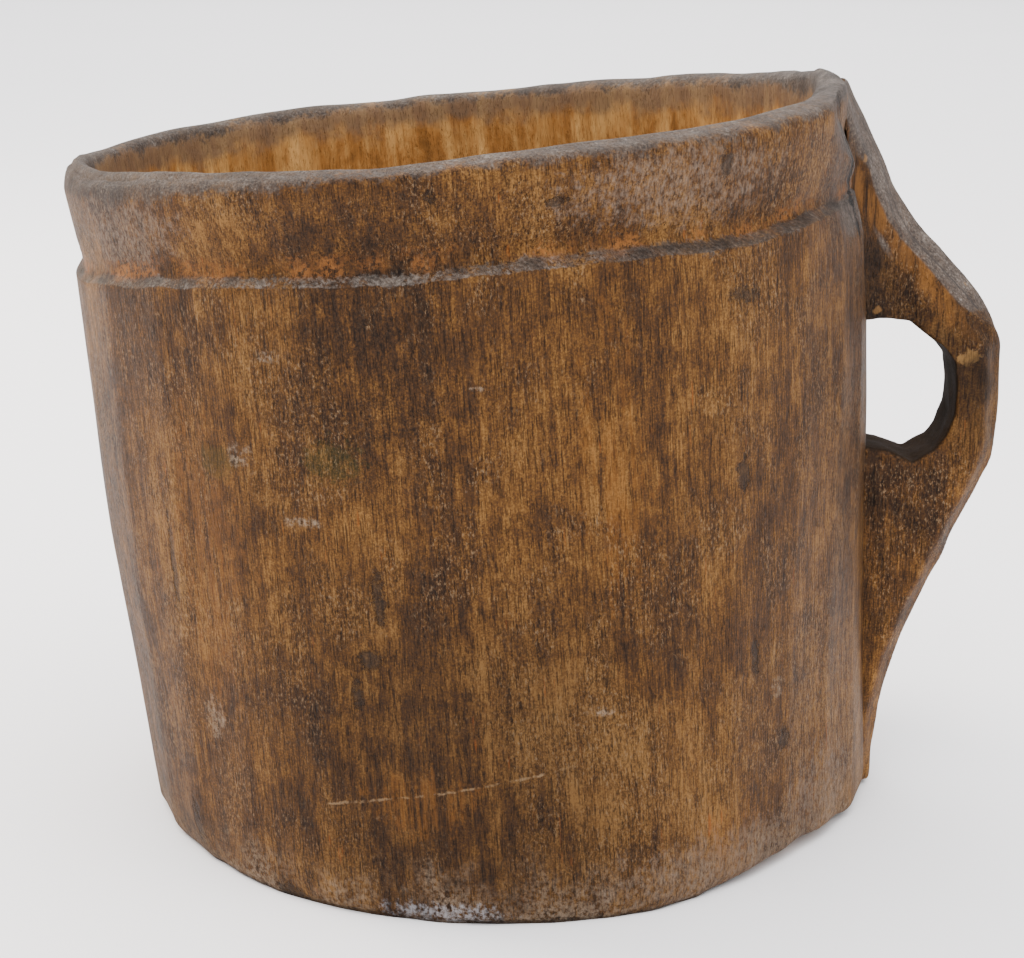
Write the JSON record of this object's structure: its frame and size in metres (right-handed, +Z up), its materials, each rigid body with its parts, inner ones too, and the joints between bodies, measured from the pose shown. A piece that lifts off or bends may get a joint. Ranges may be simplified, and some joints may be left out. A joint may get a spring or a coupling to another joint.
{
  "type": "wooden dipping cup",
  "caption": "Dipping cup hollowed from a log, with a slanted rim over a cut-back band, a let-in bottom board and a fin-shaped handle with a finger hole.",
  "frame": {"origin": "middle of the base, on the plane the cup stands on", "axes": "+Z up, +X from the middle of the base toward the handle, +Y across"},
  "size_m": [0.2272, 0.1912, 0.1766],
  "materials": {
    "wall_wood": "old waxed log wood, upright grain, greyed rim",
    "board_wood": "old wood, level grain, dull and stained",
    "handle_wood": "old waxed wood, hand-worn, greyed along the ridge"
  },
  "bodies": {
    "root": {"wall": "wall_wood", "bottom_board": "board_wood", "handle": "handle_wood"}
  },
  "joints": []
}
